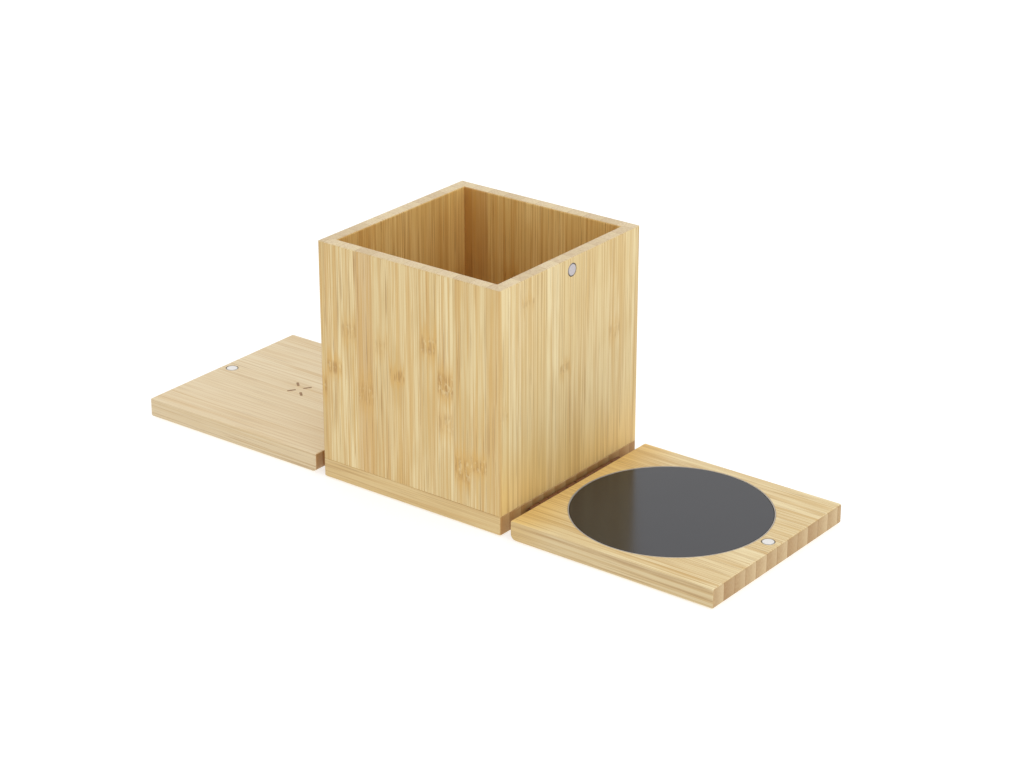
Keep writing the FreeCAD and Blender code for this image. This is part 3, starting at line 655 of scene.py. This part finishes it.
def grained(name, colour, darker, grain, roughness, metallic=0.0, relief=0.0):
    """A finish with a fine even grain: two close tones, a little relief and uneven gloss."""
    shade = Shader(name)
    place = shade.place()
    fine = shade.noise(place, (grain,) * 3, *FINE)
    broad = shade.noise(place, (grain / BROAD_GRAIN,) * 3)
    tone = shade.calc("ADD", shade.times(fine, 0.5), shade.times(broad, 0.5))
    spread = roughness * GRAIN_SPREAD
    shade.set(
        Base_Color=shade.mix(shade.step(tone, *CRISP), darkened(colour, darker), colour),
        Roughness=shade.step(broad, *SOFT, start=roughness - spread, end=roughness + spread),
        Metallic=metallic,
    )
    if relief:
        shade.bump(fine, strength=0.4, millimetres=relief)
    return shade.material


def brushed(name, colour, repeats, roughness):
    """Metal with fine lines along one axis."""
    shade = Shader(name)
    lines = shade.noise(shade.place(), repeats, *FINE)
    spread = roughness * BRUSHED_SPREAD
    shade.set(
        Base_Color=shade.mix(shade.step(lines, *SOFT), darkened(colour, 0.72), colour),
        Roughness=shade.step(lines, *SOFT, start=roughness - spread, end=roughness + spread),
        Metallic=1.0,
    )
    shade.bump(lines, strength=0.2, millimetres=0.01)
    return shade.material


def plated(node, colour):
    """Nickel plate on a round magnet, with painted shade on its bevelled edge."""
    shade = Shader(f"nickel_{node}")
    low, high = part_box(node)
    extent = high - low
    thin = min(range(3), key=lambda axis: extent[axis])
    flat = tuple(0.0 if axis == thin else 1 / MM for axis in range(3))
    away = shade.vector("SUBTRACT", shade.coordinates.outputs["Object"], tuple((low + high) / 2))
    reach = shade.vector("LENGTH", shade.vector("MULTIPLY", away, flat))
    radius = extent.y / 2 / MM
    fine = shade.noise(shade.place(), (2.4, 2.4, 2.4), *FINE)
    worn = shade.mix(shade.step(fine, *CRISP), darkened(colour, 0.9), colour)
    # Painted shade: the bevel ring is darkened as though in shadow
    edge = shade.step(reach, *(radius * part for part in PLATE_BEVEL_SHADE))
    shade.set(
        Base_Color=shade.mix(edge, worn, darkened(colour, 0.45)),
        Roughness=shade.step(fine, *SOFT, start=0.28, end=0.36),
        Metallic=1.0,
    )
    return shade.material


class PENBOX_OT_magnets(bpy.types.Operator):
    """Nickel plate on the magnets of the box and the panels"""

    bl_idname = "penbox.magnets"
    bl_label = "Magnets"

    def execute(self, context):
        look = settings().fittings
        # Painted reflection: a darker copy of the nickel on the walls' magnets
        for node in ("right_wall_magnet", "left_wall_magnet"):
            dress(plated(node, look.darker_reflection_nickel), node)
        for node in ("warmer_magnet", "charger_magnet"):
            dress(plated(node, look.nickel), node)
        return {"FINISHED"}


def black_glass():
    """Polished black glass with a trace of smear in its gloss."""
    shade = Shader("black_glass")
    smear = shade.noise(shade.place(), (0.05, 0.03, 0.05), detail=3.0, roughness=0.55)
    colour = settings().fittings.glass
    shade.set(
        Base_Color=shade.mix(shade.step(smear, *SOFT), darkened(colour, 0.8), colour),
        Roughness=shade.step(smear, *SOFT, start=0.14, end=0.18),
        Specular_Tint=GLASS_SHEEN,
    )
    return shade.material


class PENBOX_OT_warming_plate(bpy.types.Operator):
    """Black glass, its seal, and the heater, pad and sensor under it"""

    bl_idname = "penbox.warming_plate"
    bl_label = "Warming plate"

    def execute(self, context):
        look = settings().fittings
        dress(black_glass(), "heating_glass")
        silicone = grained("seal_silicone", look.seal, darker=0.9, grain=3.0, roughness=0.5, relief=0.01)
        dress(silicone, "glass_seal_ring")
        film = grained("heater_film", look.film, darker=0.7, grain=1.2, roughness=0.35)
        dress(film, "heating_element")
        felt = grained("insulation_felt", look.felt, darker=0.82, grain=2.6, roughness=0.95, relief=0.2)
        dress(felt, "insulation_pad")
        resin = grained("sensor_resin", look.cover, darker=0.7, grain=3.0, roughness=0.4)
        dress(resin, "temperature_sensor")
        return {"FINISHED"}


def wound_copper(centre):
    """Enamelled wire wound in flat turns about a centre."""
    shade = Shader("coil_copper")
    away = shade.vector("SUBTRACT", shade.place(), tuple(part / MM for part in centre))
    reach = shade.vector("LENGTH", shade.vector("MULTIPLY", away, (1.0, 1.0, 0.0)))
    turn = shade.calc("PINGPONG", shade.times(reach, TURNS_PER_MM), 0.5)
    colour = settings().fittings.copper
    shade.set(
        Base_Color=shade.mix(shade.step(turn, 0.05, 0.35), darkened(colour, 0.35), colour),
        Roughness=shade.step(turn, 0.0, 0.5, start=0.5, end=0.28),
        Metallic=1.0,
    )
    shade.bump(turn, strength=0.6, millimetres=0.2)
    return shade.material


def circuit_board():
    """Green solder mask over raised tracks."""
    shade = Shader("circuit_board")
    place = shade.place()
    spread = shade.vector("MULTIPLY", place, (TRACKS_PER_MM,) * 3)
    tracks = shade.add("ShaderNodeTexBrick", spread, offset=0.3, squash=1.0)
    tracks.inputs["Scale"].default_value = 1.0
    tracks.inputs["Mortar Size"].default_value = 0.03
    colour = settings().fittings.mask
    track = shade.calc("SUBTRACT", 1.0, tracks.outputs["Fac"])
    uneven = shade.times(track, shade.noise(place, (0.2, 0.2, 0.2)))
    shade.set(
        Base_Color=shade.mix(uneven, darkened(colour, 0.6), colour),
        Roughness=shade.step(track, 0.0, 1.0, start=0.3, end=0.45),
    )
    shade.bump(track, strength=0.3, millimetres=0.03)
    return shade.material


class PENBOX_OT_charger(bpy.types.Operator):
    """Coil, shield and circuits of the charger and of the power supply"""

    bl_idname = "penbox.charger"
    bl_label = "Charger"

    def execute(self, context):
        look = settings().fittings
        low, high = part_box("charging_coil")
        dress(wound_copper((low + high) / 2), "charging_coil")
        ferrite = grained("ferrite", look.ferrite, darker=0.8, grain=2.0, roughness=0.7, relief=0.02)
        dress(ferrite, "ferrite_shield")
        dress(circuit_board(), "charger_circuit", "power_board")
        return {"FINISHED"}


class PENBOX_OT_hinges(bpy.types.Operator):
    """Dark leaves and bright pins of the strip hinges"""

    bl_idname = "penbox.hinges"
    bl_label = "Hinges"

    def execute(self, context):
        look = settings().fittings
        coat = grained(
            "hinge_coating", look.hinge, darker=0.75, grain=1.8, roughness=0.5, metallic=0.15, relief=0.01
        )
        dress(coat, "right_hinge_base_leaves", "left_hinge_base_leaves")
        dress(coat, "warmer_hinge_leaves", "charger_hinge_leaves")
        pin = brushed("pin_steel", look.steel, repeats=(4.0, 0.1, 4.0), roughness=0.3)
        dress(pin, "right_hinge_pins", "left_hinge_pins")
        return {"FINISHED"}


class PENBOX_OT_underside(bpy.types.Operator):
    """Rubber feet and moulded covers under the boards"""

    bl_idname = "penbox.underside"
    bl_label = "Feet and covers"

    def execute(self, context):
        look = settings().fittings
        rubber = grained("foot_rubber", look.rubber, darker=0.7, grain=2.2, roughness=0.8, relief=0.03)
        dress(rubber, "base_feet", "warmer_feet", "charger_feet")
        moulding = grained("cover_moulding", look.cover, darker=0.75, grain=1.6, roughness=0.55, relief=0.05)
        dress(moulding, "base_cover", "warmer_cover", "charger_cover")
        return {"FINISHED"}


# Modelling


def select_only(piece):
    """Makes one object the selection and the active one."""
    bpy.ops.object.select_all(action="DESELECT")
    piece.select_set(True)
    bpy.context.view_layer.objects.active = piece


def new_piece(name):
    """Names the primitive that was just added and returns it."""
    piece = bpy.context.object
    piece.name = name
    piece.data.name = name
    return piece


def settle(piece):
    """Puts a piece's place, turn and size into its mesh."""
    select_only(piece)
    bpy.ops.object.transform_apply(location=True, rotation=True, scale=True)


def copies_at(piece, places, name):
    """Copies of a finished piece at several places, joined in one object. The first one is used up."""
    made = []
    for turn in places:
        select_only(piece)
        bpy.ops.object.duplicate(linked=False)
        copy = bpy.context.object
        copy.data.transform(turn)
        made.append(copy)
    bpy.data.objects.remove(piece)
    select_only(made[0])
    for copy in made[1:]:
        copy.select_set(True)
    bpy.ops.object.join()
    return new_piece(name)


def edit_edges(piece, wanted):
    """Enters edit mode with only the wanted edges selected. wanted takes an edge's two ends."""
    select_only(piece)
    bpy.ops.object.mode_set(mode="EDIT")
    bpy.ops.mesh.select_mode(type="EDGE")
    bpy.ops.mesh.select_all(action="DESELECT")
    bpy.ops.object.mode_set(mode="OBJECT")
    points = piece.data.vertices
    for edge in piece.data.edges:
        first, second = edge.vertices
        edge.select = wanted(points[first].co, points[second].co)
    bpy.ops.object.mode_set(mode="EDIT")


def rounded_block(name, size, wanted, rounding, segments):
    """A block with some of its edges rounded. wanted takes an edge's two ends."""
    bpy.ops.mesh.primitive_cube_add(size=1.0)
    block = new_piece(name)
    block.scale = size
    settle(block)
    edit_edges(block, wanted)
    bpy.ops.mesh.bevel(offset=rounding, segments=segments, affect="EDGES")
    bpy.ops.object.mode_set(mode="OBJECT")
    return block


# Charging cross

# Each stroke's direction in degrees, and the distance of its middle in millimetres
CROSS_STROKES = ((58.0, 3.3), (138.5, 5.0), (238.0, 3.3), (318.5, 5.0))
CROSS_SHIFT = 0.5 * MM
STROKE_ROUNDING = 0.45  # of a stroke's width
STROKE_SEGMENTS = 5


def burnt_wood():
    """Scorched bamboo: brown with darker specks."""
    shade = Shader("burnt_wood")
    specks = shade.noise(shade.place(), (1.4, 2.6, 2.6), *FINE)
    colour = settings().bamboo.burnt
    shade.set(
        Base_Color=shade.mix(shade.step(specks, *CRISP), colour, darkened(colour, 0.62)),
        Roughness=shade.step(specks, *SOFT, start=0.7, end=0.85),
    )
    shade.bump(specks, strength=0.3, millimetres=0.02)
    return shade.material


class PENBOX_OT_charging_cross(bpy.types.Operator):
    """Four burnt strokes that show where a phone lies"""

    bl_idname = "penbox.charging_cross"
    bl_label = "Charging cross"

    def execute(self, context):
        sizes = settings().sizes
        low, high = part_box("charging_coil")
        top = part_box("charger_panel")[1].z
        centre = Vector(((low.x + high.x) / 2, CROSS_SHIFT, top))
        stroke = rounded_block(
            "stroke",
            (sizes.cross_length, sizes.cross_width, sizes.cross_depth),
            lambda a, b: abs(a.z - b.z) > sizes.cross_depth / 2,
            sizes.cross_width * STROKE_ROUNDING,
            STROKE_SEGMENTS,
        )
        places = []
        for degrees, reach in CROSS_STROKES:
            turn = Matrix.Rotation(math.radians(degrees), 4, "Z")
            places.append(Matrix.Translation(centre) @ turn @ Matrix.Translation((reach * MM, 0.0, 0.0)))
        cross = copies_at(stroke, places, "charging_cross")
        cover_with(cross, burnt_wood())
        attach(cross, "charger")
        return {"FINISHED"}


# Screws

SCREW_SETS = (
    ("base_cover_screws", "holder"),
    ("right_hinge_base_screws", "holder"),
    ("left_hinge_base_screws", "holder"),
    ("warmer_cover_screws", "warmer"),
    ("warmer_hinge_screws", "warmer"),
    ("charger_cover_screws", "charger"),
    ("charger_hinge_screws", "charger"),
)
SCREW_SIDES = 28
SCREW_SMOOTHING = math.radians(30)
SCREW_SPREAD = 4 * MM  # two points of one screw lie nearer than this
HEAD_LIP = 0.1 * MM
HEAD_CONE = 0.45 * MM
CORE_SHARE = 0.55  # of the head's width
SHANK_SHARE = 0.62  # of the screw's length
TIP_SHARE = 0.2  # of the screw's length
TIP_SHRINK = 0.4


def separate_places(node):
    """For each separate small piece of a node, the middle of its lower end and its extent."""
    clusters = []
    for vertex in NODES[node].data.vertices:
        near = [c for c in clusters if (c[0] - vertex.co).length < SCREW_SPREAD]
        if near:
            near[0].append(vertex.co)
        else:
            clusters.append([vertex.co])
    middles = []
    for cluster in clusters:
        low = Vector(map(min, zip(*cluster)))
        high = Vector(map(max, zip(*cluster)))
        middles.append((Vector(((low.x + high.x) / 2, (low.y + high.y) / 2, low.z)), high - low))
    return middles


def countersunk_screw(head_radius, length):
    """A screw that points up, with a cross recess in the lower face of its head."""
    sizes = settings().sizes
    bpy.ops.mesh.primitive_circle_add(vertices=SCREW_SIDES, radius=head_radius, fill_type="NGON")
    screw = new_piece("screw")
    bpy.ops.object.mode_set(mode="EDIT")
    bpy.ops.mesh.select_all(action="SELECT")
    stages = (
        (HEAD_LIP, 1.0),
        (HEAD_CONE, CORE_SHARE),
        (length * SHANK_SHARE, 1.0),
        (length * TIP_SHARE, TIP_SHRINK),
    )
    for rise, shrink in stages:
        bpy.ops.mesh.extrude_region_move(TRANSFORM_OT_translate={"value": (0.0, 0.0, rise)})
        bpy.ops.transform.resize(value=(shrink, shrink, 1.0))
    bpy.ops.mesh.select_all(action="SELECT")
    bpy.ops.mesh.normals_make_consistent(inside=False)
    bpy.ops.object.mode_set(mode="OBJECT")
    for angle in (0.0, math.pi / 2):
        bpy.ops.mesh.primitive_cube_add(size=1.0, rotation=(0.0, 0.0, angle))
        cutter = new_piece("recess")
        cutter.scale = (sizes.recess_reach, sizes.recess_width, sizes.recess_depth * 2)
        settle(cutter)
        select_only(screw)
        cut = screw.modifiers.new("recess", "BOOLEAN")
        cut.operation = "DIFFERENCE"
        cut.solver = "EXACT"
        cut.object = cutter
        bpy.ops.object.modifier_apply(modifier=cut.name)
        bpy.data.objects.remove(cutter)
    bpy.ops.object.shade_smooth_by_angle(angle=SCREW_SMOOTHING)
    return screw


class PENBOX_OT_screws(bpy.types.Operator):
    """Countersunk screws with cross recesses, and the flat ones of the power board"""

    bl_idname = "penbox.screws"
    bl_label = "Screws"

    def execute(self, context):
        look = settings().fittings
        zinc = grained(
            "zinc_plate", look.zinc, darker=0.78, grain=2.6, roughness=0.36, metallic=1.0, relief=0.006
        )
        for node, body in SCREW_SETS:
            middles = separate_places(node)
            extent = middles[0][1]
            screw = countersunk_screw(extent.x / 2, extent.z)
            places = [Matrix.Translation(middle) for middle, _ in middles]
            screws = copies_at(screw, places, node.replace("screws", "screw_set"))
            cover_with(screws, zinc)
            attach(screws, body)
            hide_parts(node)
        dress(zinc, "power_board_screws")
        return {"FINISHED"}


# Power inlet

CONTACTS = 12
CONTACT_ROUNDING = 0.4  # of a contact's thickness
CONTACT_SEGMENTS = 2
# The tongue in millimetres, and where its colour starts and is full above and below its middle
TONGUE_HALF_WIDTH = 3.16
TONGUE_HALF_HEIGHT = 0.35
TONGUE_DEPTH = 6.0
TONGUE_RIM = 0.1
TONGUE_COLOUR = (0.5, 0.45)


def inlet_finish(middle, mouth):
    """Drawn steel with a dark moulded tongue inside."""
    look = settings().fittings
    shade = Shader("inlet_steel")
    place = shade.place()
    lines = shade.noise(place, (0.3, 3.0, 3.0), *FINE)
    x, y, z = shade.parts(place)
    low = shade.step(shade.distance(z, middle / MM), *TONGUE_COLOUR)
    narrow = shade.step(shade.calc("ABSOLUTE", x), TONGUE_HALF_WIDTH + TONGUE_RIM, TONGUE_HALF_WIDTH)
    root = mouth / MM - TONGUE_DEPTH
    front = shade.step(y, root - TONGUE_RIM, root)
    tongue = shade.times(shade.times(low, narrow), front)
    steel = shade.mix(shade.step(lines, *SOFT), darkened(look.steel, 0.72), look.steel)
    shade.set(
        Base_Color=shade.mix(tongue, steel, look.cover),
        Roughness=shade.step(lines, *SOFT, start=0.26, end=0.38),
        Metallic=shade.calc("SUBTRACT", 1.0, tongue),
    )
    return shade.material


class PENBOX_OT_inlet(bpy.types.Operator):
    """Steel shell of the power inlet, with gold contacts on its tongue"""

    bl_idname = "penbox.inlet"
    bl_label = "Power inlet"

    def execute(self, context):
        look = settings().fittings
        sizes = settings().sizes
        low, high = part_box("usb_c_inlet")
        middle = (low.z + high.z) / 2
        dress(inlet_finish(middle, high.y), "usb_c_inlet")
        contact = rounded_block(
            "contact",
            (sizes.contact_width, sizes.contact_length, sizes.contact_thickness),
            lambda a, b: a.y > 0.0 and b.y > 0.0,
            sizes.contact_thickness * CONTACT_ROUNDING,
            CONTACT_SEGMENTS,
        )
        y = high.y - sizes.contact_setback - sizes.contact_length / 2
        places = []
        for index in range(CONTACTS):
            x = (index - (CONTACTS - 1) / 2) * sizes.contact_pitch
            for side in (-1, 1):
                z = middle + side * TONGUE_HALF_HEIGHT * MM
                places.append(Matrix.Translation((x, y, z)))
        contacts = copies_at(contact, places, "inlet_contacts")
        gold = grained("contact_gold", look.gold, darker=0.8, grain=3.0, roughness=0.25, metallic=1.0)
        cover_with(contacts, gold)
        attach(contacts, "holder")
        return {"FINISHED"}


# Leads

LEAD_RINGS = 48
LEAD_SIDES = 16
LEAD_SMOOTHING = math.radians(40)


class PENBOX_OT_leads(bpy.types.Operator):
    """Round leads, with many rings along their length"""

    bl_idname = "penbox.leads"
    bl_label = "Leads"

    def execute(self, context):
        look = settings().fittings
        jacket = grained("lead_jacket", look.rubber, darker=0.7, grain=2.0, roughness=0.6, relief=0.02)
        left, right = (corner.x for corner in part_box("base_board"))
        for node, body, start, end in (
            ("warmer_lead", "warmer", right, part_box("warmer_panel")[0].x),
            ("charger_lead", "charger", left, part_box("charger_panel")[1].x),
        ):
            low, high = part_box(node)
            middle = (low + high) / 2
            bpy.ops.mesh.primitive_cylinder_add(
                vertices=LEAD_SIDES, radius=(high.z - low.z) / 2, depth=high.x - low.x,
                location=middle, rotation=(0.0, math.pi / 2, 0.0),
            )
            lead = new_piece(f"{node}_jacket")
            settle(lead)
            edit_edges(lead, lambda a, b: abs(a.x - b.x) > (high.x - low.x) / 2)
            bpy.ops.mesh.subdivide(number_cuts=LEAD_RINGS)
            bpy.ops.object.mode_set(mode="OBJECT")
            bpy.ops.object.shade_smooth_by_angle(angle=LEAD_SMOOTHING)
            cover_with(lead, jacket)
            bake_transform(lead)
            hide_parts(node)
        return {"FINISHED"}


# Stage

# Lengths in metres, the sensor in millimetres
FLOOR_SIZE = 12.0
FLOOR_DROP = 0.0001
FLOOR_EMISSION = 0.62
SOFTBOX_PLACE = (1.4, -0.35, 1.1)
SOFTBOX_SIZE = 1.2
SENSOR_WIDTH = 36.0
CLIP_START = 0.05
CLIP_END = 50.0
WHITE = (1.0, 1.0, 1.0, 1.0)


def plain_floor(stage):
    """A white floor that glows, so that shadows on it stay faint."""
    shade = Shader("plain_floor")
    tone = shade.noise(shade.place(), (0.002, 0.002, 0.002))
    shade.set(
        Base_Color=shade.mix(tone, stage.floor, darkened(stage.floor, 0.98)),
        Roughness=0.9,
        Specular_IOR_Level=0.0,
        Emission_Color=WHITE,
        Emission_Strength=FLOOR_EMISSION,
    )
    return shade.material


def lay_floor(stage):
    """The floor under the feet."""
    bpy.ops.mesh.primitive_plane_add(size=FLOOR_SIZE, location=(0.0, 0.0, -FLOOR_DROP))
    floor = new_piece("floor")
    settle(floor)
    cover_with(floor, plain_floor(stage))


def put_facing(name, data, place, direction):
    """A light or camera at a place, facing in a direction."""
    piece = bpy.data.objects.new(name, data)
    piece.location = place
    piece.rotation_mode = "QUATERNION"
    piece.rotation_quaternion = direction.to_track_quat("-Z", "Y")
    bpy.context.scene.collection.objects.link(piece)
    return piece


def light_stage(stage):
    """Even light from all round, and a softbox high on the right."""
    scene = bpy.context.scene
    scene.world = bpy.data.worlds.new("studio")
    scene.world.use_nodes = True
    sky = scene.world.node_tree.nodes["Background"]
    sky.inputs["Color"].default_value = WHITE
    sky.inputs["Strength"].default_value = stage.sky
    light = bpy.data.lights.new("softbox", "AREA")
    light.shape = "SQUARE"
    light.size = SOFTBOX_SIZE
    light.energy = stage.key
    put_facing("softbox", light, SOFTBOX_PLACE, -Vector(SOFTBOX_PLACE))


def aim_camera(stage):
    """The camera at the photograph's viewing angle."""
    turn, rise = stage.azimuth, stage.elevation
    side = Vector((math.cos(turn), math.sin(turn), 0.0))
    back = Vector((math.sin(turn) * math.cos(rise), -math.cos(turn) * math.cos(rise), math.sin(rise)))
    up = back.cross(side)
    middle = Vector((0.0, 0.0, (CAD_BOX[0][2] + CAD_BOX[1][2]) / 2))
    target = middle + side * stage.aim_side - up * stage.aim_down
    data = bpy.data.cameras.new("camera")
    data.sensor_width = SENSOR_WIDTH
    data.lens = stage.lens
    data.clip_start = CLIP_START
    data.clip_end = CLIP_END
    bpy.context.scene.camera = put_facing("camera", data, target + back * stage.distance, -back)


class PENBOX_OT_stage(bpy.types.Operator):
    """Floor, soft light and camera"""

    bl_idname = "penbox.stage"
    bl_label = "Stage"

    def execute(self, context):
        stage = settings().stage
        context.scene.view_settings.view_transform = "Standard"
        lay_floor(stage)
        light_stage(stage)
        aim_camera(stage)
        return {"FINISHED"}


class PENBOX_PT_sidebar(bpy.types.Panel):
    """The pen box's steps and settings"""

    bl_label = "Pen Box"
    bl_idname = "PENBOX_PT_sidebar"
    bl_space_type = "VIEW_3D"
    bl_region_type = "UI"
    bl_category = "Pen Box"

    def draw(self, context):
        for step in STEPS:
            self.layout.operator(step.bl_idname)
        chosen = settings()
        for group in (chosen.bamboo, chosen.fittings, chosen.sizes, chosen.stage):
            box = self.layout.box()
            for name in group.__annotations__:
                box.prop(group, name)


STEPS = (
    PENBOX_OT_box,
    PENBOX_OT_panels,
    PENBOX_OT_magnets,
    PENBOX_OT_warming_plate,
    PENBOX_OT_charger,
    PENBOX_OT_hinges,
    PENBOX_OT_underside,
    PENBOX_OT_charging_cross,
    PENBOX_OT_screws,
    PENBOX_OT_inlet,
    PENBOX_OT_leads,
    PENBOX_OT_stage,
)
CLASSES = (BambooLook, FittingLook, PieceSizes, StageSetup, PenBoxSettings, *STEPS, PENBOX_PT_sidebar)


def register():
    for each in CLASSES:
        bpy.utils.register_class(each)
    bpy.types.Scene.pen_box = bpy.props.PointerProperty(type=PenBoxSettings)


def unregister():
    del bpy.types.Scene.pen_box
    for each in reversed(CLASSES):
        bpy.utils.unregister_class(each)


def main():
    register()
    bpy.ops.penbox.box()
    bpy.ops.penbox.panels()
    bpy.ops.penbox.magnets()
    bpy.ops.penbox.warming_plate()
    bpy.ops.penbox.charger()
    bpy.ops.penbox.hinges()
    bpy.ops.penbox.underside()
    bpy.ops.penbox.charging_cross()
    bpy.ops.penbox.screws()
    bpy.ops.penbox.inlet()
    bpy.ops.penbox.leads()
    bpy.ops.penbox.stage()


if __name__ == "__main__":
    main()
